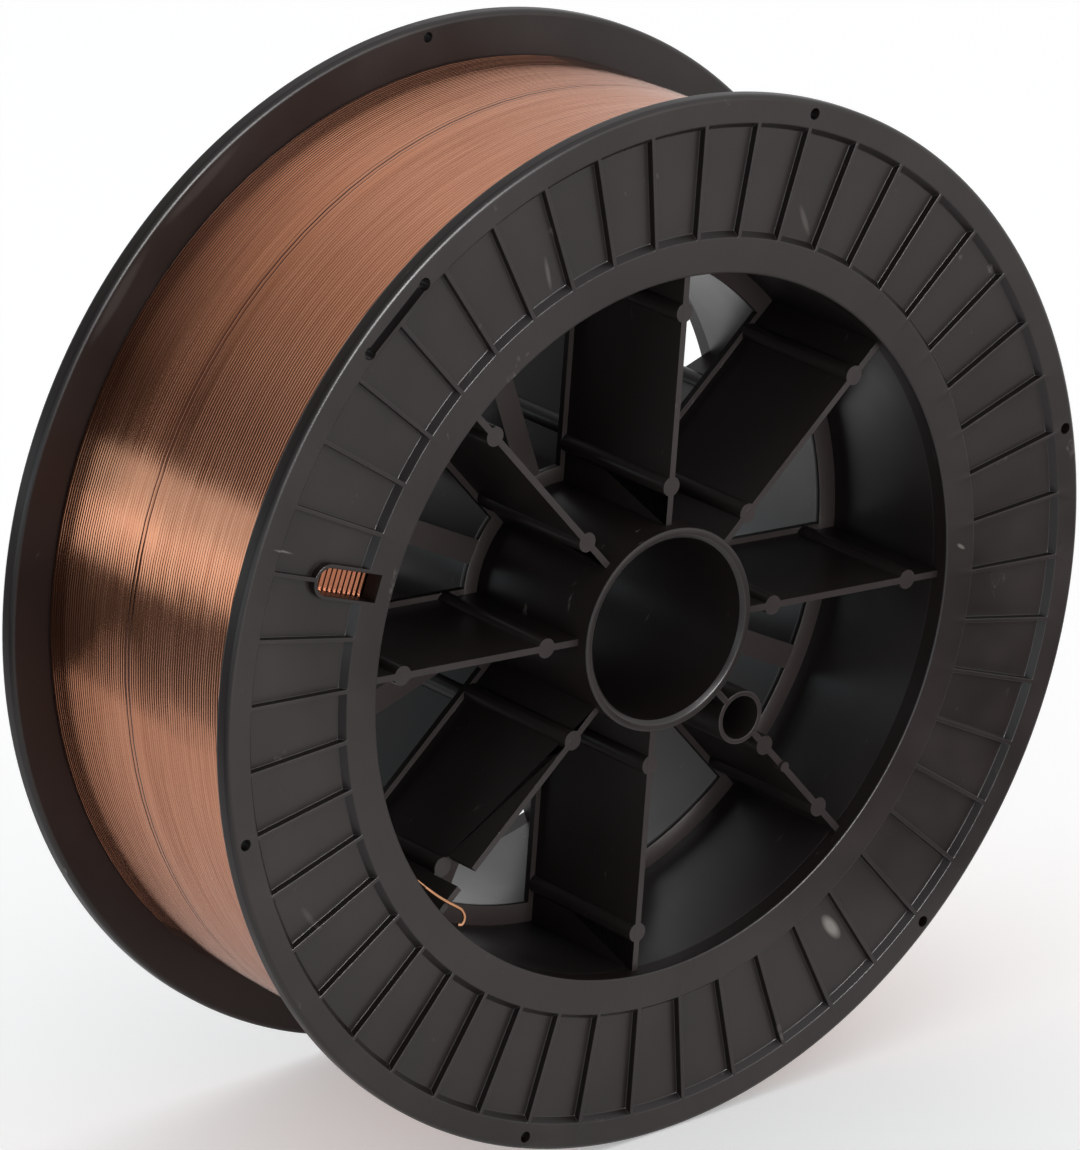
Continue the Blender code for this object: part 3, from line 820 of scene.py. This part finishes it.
# %% [markdown]
# ## Ribs
#
# A rib is a thin upright wall from the hub tube to the barrel, with a wider strip of the
# web at its foot and two round columns, which gave the ejector pins something to push on.
# It is a box, two cylinders and a box for the strip, joined by Booleans and then bevelled,
# so that the joins are rounded as in a mould. One plain rib is made for each side and
# copied; the two odd ribs of the front side, one notched for the wire's start and one cut
# short by the sleeve, come from the same recipe. The short one also carries the stub of the
# gate, through which the plastic was injected.


# %% The recipe for a rib
RIB_HALF = 0.95 * MM
RIB_CORNER = 0.28 * MM
COLUMN_R = 2.8 * MM
STRIP_HALF = {"front": 2.6 * MM, "rear": 3.55 * MM}


def box(name, low, high):
    """A box between two corners, as a start for a rib, an arm or a gap."""
    made = new(bpy.ops.mesh.primitive_cube_add, name, size=1)
    made.location = [(a + b) / 2 for a, b in zip(low, high)]
    made.scale = [b - a for a, b in zip(low, high)]
    return settle(made)


def column(name, place, radius, low, high, vertices=28):
    return new(
        bpy.ops.mesh.primitive_cylinder_add,
        name,
        vertices=vertices,
        radius=radius,
        depth=high - low,
        location=(place, 0, (low + high) / 2),
    )


def rib(name, half, start, columns, notch=None):
    """A rib along X, from its start to the barrel, with its columns and foot strip."""
    low, high = web_span(half)
    made = box(name, (start, -RIB_HALF, high - MM), (MOUTH_R + 0.2 * MM, RIB_HALF, RIB_TOP))
    for place in columns:
        post = settle(column("post", place, COLUMN_R, high - 0.9 * MM, RIB_TOP - 0.04 * MM))
        boolean(made, post, "UNION")
    strip = STRIP_HALF[half]
    strip_start = max(WEB_HUB_R - 0.2 * MM, start + 0.3 * MM)
    foot = box("foot", (strip_start, -strip, low), (WEB_BARREL_R + 0.2 * MM, strip, high))
    boolean(made, foot, "UNION")
    if notch:
        place, length, depth = notch
        gap = box(
            "gap",
            (place - length / 2, -5 * MM, RIB_TOP - depth),
            (place + length / 2, 5 * MM, RIB_TOP + MM),
        )
        boolean(made, gap, "DIFFERENCE")
    return round_edges(made, RIB_CORNER)


# %% Plain, notched and short ribs
RIB_START = HUB_R - 0.2 * MM
INNER_COLUMN = 40.1 * MM
OUTER_COLUMN = 89.3 * MM
NOTCH_COLUMN = 88.3 * MM
NOTCH = (NOTCH_COLUMN, 6.4 * MM, 10.5 * MM)  # place, length and depth
DRIVE_PLACE = 44.5 * MM
SLEEVE_R = 7.8 * MM
SHORT_START = DRIVE_PLACE + SLEEVE_R - 0.3 * MM
SHORT_COLUMN = DRIVE_PLACE + SLEEVE_R + 6 * MM
GATE_PLACE = 68.7 * MM
GATE_R = 1.5 * MM

plain = {}
for half in ("front", "rear"):
    plain[half] = rib("plain_rib", half, RIB_START, (INNER_COLUMN, OUTER_COLUMN))
notched = rib("notched_rib", "front", RIB_START, (INNER_COLUMN, NOTCH_COLUMN), NOTCH)
short = rib("short_rib", "front", SHORT_START, (SHORT_COLUMN, OUTER_COLUMN))
gate = settle(column("gate", GATE_PLACE, GATE_R, RIB_TOP - 2 * MM, RIB_TOP + 0.9 * MM, 16))
boolean(short, gate, "UNION")
print("a plain rib:", triangles(plain["front"]), "triangles")

# %% Copy the ribs into place
ODD_RIBS = {("front", 3): notched, ("front", 5): short}
for half in ("front", "rear"):
    for number in range(1, 9):
        source = ODD_RIBS.get((half, number), plain[half])
        name = f"{half}_rib_{number}"
        place = HALVES[half] @ turned(SLOT_DEGREES + 45 * (number - 1))
        hand_over(copy_of(source, name + "_shown", place), RIB_PLASTIC_PAINTED_LIGHTER, "rib_plastic", name)
for source in (plain["front"], plain["rear"], notched, short):
    bpy.data.objects.remove(source)

# %% [markdown]
# ## Sleeves for the driving pin
#
# A wire feeder turns the spool with a pin that goes through a hole beside the hub. The
# sleeve round it is a ring whose bore widens towards the mouth, on a short rib.


# %% Sleeve
SLEEVE_BORE_R = 5.3 * MM
FLARE = 1.17


def sleeve(half):
    """A flared ring at the driving pin's place, with its arm from the hub."""
    low, high = web_span(half)
    bottom = low if half == "front" else high
    made = ring("sleeve", SLEEVE_BORE_R, SLEEVE_R, bottom, RIB_TOP, 48, 0.35 * MM)
    edit(made)
    middle_r = (SLEEVE_BORE_R + SLEEVE_R) / 2
    pick("VERT", lambda co: co.z > RIB_TOP - MM and hypot(co.x, co.y) < middle_r)
    bpy.ops.transform.resize(value=(FLARE, FLARE, 1), center_override=(0, 0, 0))
    bpy.ops.object.mode_set(mode="OBJECT")
    settle(made, Matrix.Translation((DRIVE_PLACE, 0, 0)))
    end = DRIVE_PLACE - SLEEVE_R + MM
    arm = box("arm", (RIB_START, -RIB_HALF, bottom), (end, RIB_HALF, RIB_TOP))
    round_edges(arm, RIB_CORNER)
    return boolean(made, arm, "UNION")


for half in ("front", "rear"):
    source = sleeve(half)
    place = HALVES[half] @ turned(SLOT_DEGREES + 180)
    piece = copy_of(source, half + "_drive_sleeve_shown", place)
    hand_over(piece, RIB_PLASTIC_PAINTED_LIGHTER, "sleeve_plastic", half + "_drive_sleeve")
    bpy.data.objects.remove(source)

# %% [markdown]
# ## Wire
#
# The outer layer is one wire that winds from flange to flange, 88 turns side by side. A
# curve with a round bevel is the natural way to make a wire: only its centre line is
# computed. Real turns aren't perfect, so the line wanders by a few hundredths of a
# millimetre, and one turn lies apart from its neighbours, which shows as two dark lines
# round the coil. A tube with few sides would leave slits between the turns, and round
# turns look rougher than the tight layer does. So the wire is laid a little thicker than
# it is, and then its whole layer is pressed flatter against the one below.

# %% The outer turns' centre line
WIRE_R = 0.5 * MM
LAID_R = 0.56 * MM
WINDING_R = 137.65 * MM
TURNS = 88
POINTS = 96
FIRST_Y = FLANGE_INSIDE - 0.3 * MM - WIRE_R
LONE_TURN_Y = 9.7 * MM
LONE_GAP = 0.52 * MM
STEP_LENGTH = 0.25 * MM
WANDER = 0.045 * MM
DRIFT = 0.05 * MM


def turn_place(share):
    """Height along the axis of a share of the way across the layer."""
    y = -FIRST_Y + share * (2 * FIRST_Y - 2 * LONE_GAP)
    for edge in (LONE_TURN_Y - LONE_GAP, LONE_TURN_Y + MM):
        y += LONE_GAP * min(1, max(0, (y - edge) / STEP_LENGTH + 0.5))
    return y


def winding_points():
    """The centre line, turn by turn, with its small wander in and out and to the sides."""
    points = []
    for i in range(TURNS * POINTS + 1):
        turn = i / POINTS
        angle = 2 * pi * turn - pi / 2
        wander = noise.noise(Vector((cos(angle) * 1.3, sin(angle) * 1.3, turn * 0.9)))
        drift = noise.noise(Vector((turn * 0.37, cos(angle) * 0.6, 7.3 + sin(angle) * 0.6)))
        radius = WINDING_R - WIRE_R - 0.05 * MM + WANDER * wander
        y = turn_place(turn / TURNS) + DRIFT * drift
        y = min(FIRST_Y, max(-FIRST_Y, y))
        points.append((radius * cos(angle), y, radius * sin(angle)))
    return points


# %% Lay the wire and press it
PRESSED = 0.3
WIRE_SIDES = 10


def wire(name, points, radius):
    """A round wire along the points, made a mesh."""
    curve = bpy.data.curves.new(name, "CURVE")
    curve.dimensions = "3D"
    curve.bevel_depth = radius
    curve.bevel_resolution = WIRE_SIDES // 2 - 2
    curve.use_fill_caps = True
    spline = curve.splines.new("POLY")
    spline.points.add(len(points) - 1)
    for point, place in zip(spline.points, points):
        point.co = (*place, 1)
    spline.use_smooth = True
    made = bpy.data.objects.new(name, curve)
    bpy.context.collection.objects.link(made)
    alone(made)
    bpy.ops.object.convert(target="MESH")
    return bpy.context.object


def press(obj):
    """Flatten the turns to a share of their height, measured down from the crests."""
    for vertex in obj.data.vertices:
        radius = hypot(vertex.co.x, vertex.co.z)
        share = (WINDING_R - PRESSED * (WINDING_R - radius)) / radius
        vertex.co.x *= share
        vertex.co.z *= share
    return obj


winding = press(wire("wire_outer_layer_shown", winding_points(), LAID_R))
hand_over(smooth(winding, 18), WOUND_COPPER, "wire_copper", "wire_outer_layer")

# %% [markdown]
# ## The layers below
#
# Only two views reach the wire below the outer layer: the lines beside the lone turn, and
# the window, where every second layer's last turn lies against the flange. So the coil's
# body is one turned shape, in the darker copper that paints its shade. Its outside lies just
# below the crests and shows as the two seams, in painted shade. Its two ends are rippled:
# the outline is subdivided there, every second vertex is pulled in, and the zigzag is
# rounded.

# %% Ripples
LAYER_PITCH = 1.7 * MM
RIPPLE_DEPTH = 0.55 * MM
RIPPLE_CORNER = 0.22 * MM
CORE_R = WINDING_R - 0.1 * MM
CORE_SIDE = FLANGE_INSIDE - 0.1 * MM


def ripple(test, cuts, inward):
    """Subdivide the picked edges and pull every second vertex in."""
    pick("EDGE", test)
    bpy.ops.mesh.subdivide(number_cuts=cuts)
    mesh = bpy.context.object.data
    shape = bmesh.from_edit_mesh(mesh)
    picked = sorted((v for v in shape.verts if v.select), key=lambda v: (round(v.co.x, 6), v.co.z))
    bpy.ops.mesh.select_mode(type="VERT")
    bpy.ops.mesh.select_all(action="DESELECT")
    for vertex in picked[1:-1:2]:
        vertex.select_set(True)
    shape.select_flush_mode()
    bmesh.update_edit_mesh(mesh)
    bpy.ops.transform.translate(value=inward)


core = section("wire_core_shown", BARREL_R, CORE_R, -CORE_SIDE, CORE_SIDE)
edit(core)
keep_outline()
rows = 2 * round((CORE_R - BARREL_R) / LAYER_PITCH) - 1
for side in (1, -1):
    ripple(
        lambda a, b, angle: min(a.z * side, b.z * side) > CORE_SIDE - NEAR / 10,
        rows,
        (0, 0, -side * RIPPLE_DEPTH),
    )
bpy.ops.mesh.select_all(action="SELECT")
bpy.ops.mesh.bevel(offset=RIPPLE_CORNER, segments=1, affect="VERTICES")
bpy.ops.mesh.select_all(action="SELECT")
bpy.ops.mesh.spin(steps=96, angle=2 * pi, center=(0, 0, 0), axis=(0, 0, 1))
face_out()
bpy.ops.object.mode_set(mode="OBJECT")
settle(core, FRONT_HALF)
hand_over(smooth(core, 70), DEEP_COPPER_PAINTED_SHADE, "wire_core_copper", "wire_core")

# %% [markdown]
# ## The wire's start
#
# The first end of the wire comes out of the barrel's small hole, runs along inside the
# mouth, passes over the notched rib and is hooked back. Its centre line is a smooth curve
# through a few points, which are the CAD route's.

# %% The hooked tail
OVER_RIB = RIB_TOP + 0.85 * MM
RIB_DEGREES = SLOT_DEGREES + 90
ROUTE = [  # radius, degrees round the axis, height above the middle
    (BARREL_R - 1 * MM, START_DEGREES, START_HEIGHT),
    (MOUTH_R, START_DEGREES, START_HEIGHT),
    (MOUTH_R - 1.2 * MM, START_DEGREES + 0.3, START_HEIGHT + 0.6 * MM),
    (MOUTH_R - 1.6 * MM, START_DEGREES + 0.9, START_HEIGHT + 2.0 * MM),
    (MOUTH_R - 1.7 * MM, START_DEGREES + 1.7, START_HEIGHT + 3.6 * MM),
    (MOUTH_R - 1.9 * MM, RIB_DEGREES - 5.3, OVER_RIB - 0.4 * MM),
    (MOUTH_R - 2.7 * MM, RIB_DEGREES - 3.2, OVER_RIB),
    (MOUTH_R - 3.7 * MM, RIB_DEGREES - 0.8, OVER_RIB),
    (MOUTH_R - 4.7 * MM, RIB_DEGREES + 1.6, OVER_RIB),
    (MOUTH_R - 5.0 * MM, RIB_DEGREES + 2.7, OVER_RIB),
    (MOUTH_R - 4.6 * MM, RIB_DEGREES + 3.7, OVER_RIB),
    (MOUTH_R - 3.6 * MM, RIB_DEGREES + 4.5, OVER_RIB - 0.1 * MM),
    (MOUTH_R - 2.1 * MM, RIB_DEGREES + 4.8, OVER_RIB - 0.3 * MM),
    (MOUTH_R - 1.3 * MM, RIB_DEGREES + 4.2, OVER_RIB - 0.5 * MM),
]


def through(places, steps=5):
    """A smooth line through the places (Catmull-Rom)."""
    line = []
    for i in range(len(places) - 1):
        a, b, c, d = (places[min(max(i + k, 0), len(places) - 1)] for k in (-1, 0, 1, 2))
        for step in range(steps):
            t = step / steps
            line.append(
                0.5
                * (
                    2 * b
                    + (c - a) * t
                    + (2 * a - 5 * b + 4 * c - d) * t**2
                    + (3 * b - a - 3 * c + d) * t**3
                )
            )
    return line + [places[-1]]


route = [
    Vector((r * cos(radians(a)), -height, r * sin(radians(a)))) for r, a, height in ROUTE
]
tail = wire("wire_start_tail_shown", through(route), WIRE_R)
hand_over(smooth(tail, 60), TAIL_COPPER, "tail_copper", "wire_start_tail")

# %% [markdown]
# ## Floor, light and camera
#
# A product photograph like this is taken on a white sweep, between large soft lights. The
# metal shows what surrounds it, so the set is built as the studio was: a white floor and a
# white room, a long low softbox on the left, whose sharp edges show in the winding, a
# curved sheet above it that fades from dark to white, and dark cards that give the metal
# and the plastic their depth. A small lamp near the camera puts the thin bright lines on
# the plastic's edges. The sheet and the cards act in reflections only, so they leave no
# shadow on the floor. The floor and the room are a little brighter where a ray sees them
# than where they light the spool, which keeps them white and the spool at its own tone.


# %% Floor
def seen_ray(tree):
    """1 for a ray from the camera, straight, mirrored or through glass, and 0 for light."""
    path = add_node(tree, "LightPath", {})
    mirrored = {0: path.outputs["Is Glossy Ray"], 1: path.outputs["Is Transmission Ray"]}
    mirrored = add_node(tree, "Math", mirrored, operation="MAXIMUM")
    both = {0: path.outputs["Is Camera Ray"], 1: mirrored.outputs[0]}
    return add_node(tree, "Math", both, operation="MAXIMUM").outputs[0]


def plain_material(name, hex_code, glow=0.0):
    """A matt colour, with a glow that is only seen and lights nothing."""
    made, tree, shader = new_material(name, Roughness=0.9, Base_Color=linear(hex_code))
    if glow:
        shader.inputs["Emission Color"].default_value = WHITE
        strength = add_node(tree, "Math", {0: seen_ray(tree), 1: glow}, operation="MULTIPLY")
        tree.links.new(strength.outputs[0], shader.inputs["Emission Strength"])
    return made


WHITE = (1, 1, 1, 1)
floor = new(bpy.ops.mesh.primitive_plane_add, "floor", size=9, location=(0, 0, cad_low.z))
settle(floor)
floor.data.materials.append(plain_material("white_sweep", "f2f2f2", 0.3))


# %% Cards
def only_reflected(obj, surface):
    """Give a card its surface, and hide it from all but mirrored rays."""
    obj.data.materials.append(surface)
    obj.visible_camera = False
    obj.visible_diffuse = False
    obj.visible_shadow = False
    return obj


def floor_card(name, width, depth, x, y, surface):
    """A card that lies just above the floor."""
    place = (x, y, cad_low.z + 10 * MM)
    made = new(bpy.ops.mesh.primitive_plane_add, name, size=1, location=place)
    made.scale = (width, depth, 1)
    return only_reflected(settle(made), surface)


def curved_sheet(name, radius, lowest, highest, surface):
    """A sheet bent round the spool's axis on the left, between two elevations in degrees."""
    made = new(
        bpy.ops.mesh.primitive_cylinder_add,
        name,
        vertices=120,
        radius=radius,
        depth=SET_DEPTH,
        end_fill_type="NOTHING",
        location=(0, SET_MIDDLE, 0),
        rotation=(pi / 2, 0, 0),
    )
    settle(made)
    edit(made)
    pick("FACE", lambda c, n: not radians(lowest) < atan2(c.z, -c.x) < radians(highest))
    bpy.ops.mesh.delete(type="FACE")
    bpy.ops.object.mode_set(mode="OBJECT")
    return only_reflected(made, surface)


def graduated(name, start, end, dim, bright):
    """A sheet that glows more the further right it is, like one that is lit from above."""
    made, tree, shader = new_material(
        name, Roughness=1.0, Base_Color=linear("000000"), Emission_Color=WHITE
    )
    place = add_node(tree, "TexCoord", {}).outputs["Object"]
    across = add_node(tree, "SeparateXYZ", {"Vector": place}).outputs["X"]
    glow = add_node(tree, "MapRange", between(across, start, end, dim, bright))
    tree.links.new(glow.outputs["Result"], shader.inputs["Emission Strength"])
    return made


SET_DEPTH = 6.4  # metres along the spool's axis, so that no end shows in the metal
SET_MIDDLE = 0.2
DARK = plain_material("dark_card", "505050")
PALE = plain_material("pale_card", "f8f8f8", 0.18)
BLACK = plain_material("black_card", "0c0c0c")
floor_card("floor_card", 3.56, SET_DEPTH, -2.16, SET_MIDDLE, DARK)
floor_card("pale_card", 0.34, SET_DEPTH, -0.21, SET_MIDDLE, PALE)
# A black card that paints the spool's own shadow on the floor; it shows only in reflections.
floor_card("shadow_card", 0.34, 0.3, 0.29, -0.27, BLACK)
curved_sheet("left_sheet", 2.1, 10, 102, graduated("left_sheet", -1.75, 0.4, 0.11, 1.0))


# %% Lights
def softbox(name, width, height, place, look_at, radiance, colour="ffffff"):
    """An area light; its power is worked out from how bright it should look."""
    lamp = bpy.data.lights.new(name, "AREA")
    lamp.shape = "RECTANGLE"
    lamp.size = width
    lamp.size_y = height
    lamp.color = linear(colour)[:3]
    lamp.energy = radiance * pi * width * height
    made = bpy.data.objects.new(name, lamp)
    bpy.context.collection.objects.link(made)
    made.location = place
    towards = Vector(look_at) - Vector(place)
    made.rotation_euler = towards.to_track_quat("-Z", "Y").to_euler()
    made.visible_camera = False
    return made


SPOOL = (0, 0, 0)
LOW = 0.235
softbox("low_softbox", 6.0, 0.6, (-1.5, SET_MIDDLE, LOW), (0, SET_MIDDLE, LOW), 1.22, "e2f7ff")
edge_lamp = softbox("edge_lamp", 0.3, 0.9, (0.12, -1.84, 0.7), SPOOL, 60)
edge_lamp.visible_diffuse = False
edge_lamp.light_linking.receiver_collection = PLASTIC_PIECES
top_softbox = softbox("top_softbox", 2.4, 2.4, (0.6, SET_MIDDLE, 2.2), SPOOL, 0.65)
top_softbox.visible_glossy = False

# %% World
world = bpy.data.worlds.new("white_room")
world.use_nodes = True
bpy.context.scene.world = world
sky = world.node_tree
background = sky.nodes["Background"]
background.inputs["Color"].default_value = WHITE
strength = add_node(sky, "MapRange", between(seen_ray(sky), 0, 1, 0.6, 1.0))
sky.links.new(strength.outputs["Result"], background.inputs["Strength"])

# %% Camera
AZIMUTH = radians(-38.6)
ELEVATION = radians(21.22)
DISTANCE = 2.32221
TO_LEFT = 3.02 * MM
TO_TOP = 0.48 * MM
right = Vector((cos(AZIMUTH), sin(AZIMUTH), 0))
level = Vector((sin(AZIMUTH), -cos(AZIMUTH), 0))
back = level * cos(ELEVATION) + Vector((0, 0, sin(ELEVATION)))
up = back.cross(right)
camera_data = bpy.data.cameras.new("camera")
camera_data.lens = 262.46
camera_data.sensor_width = 36
camera_data.sensor_fit = "AUTO"
camera_data.clip_start = 0.1
camera_data.clip_end = 50
camera = bpy.data.objects.new("camera", camera_data)
bpy.context.collection.objects.link(camera)
turn = Matrix((right, up, back)).transposed().to_4x4()
place = back * DISTANCE - right * TO_LEFT + up * TO_TOP
camera.matrix_world = Matrix.Translation(place) @ turn
bpy.context.scene.camera = camera
bpy.context.scene.view_settings.view_transform = "Standard"

# %% Triangles in all
bpy.context.view_layer.update()
print("triangles in all:", sum(triangles(p) for p in PIECES))
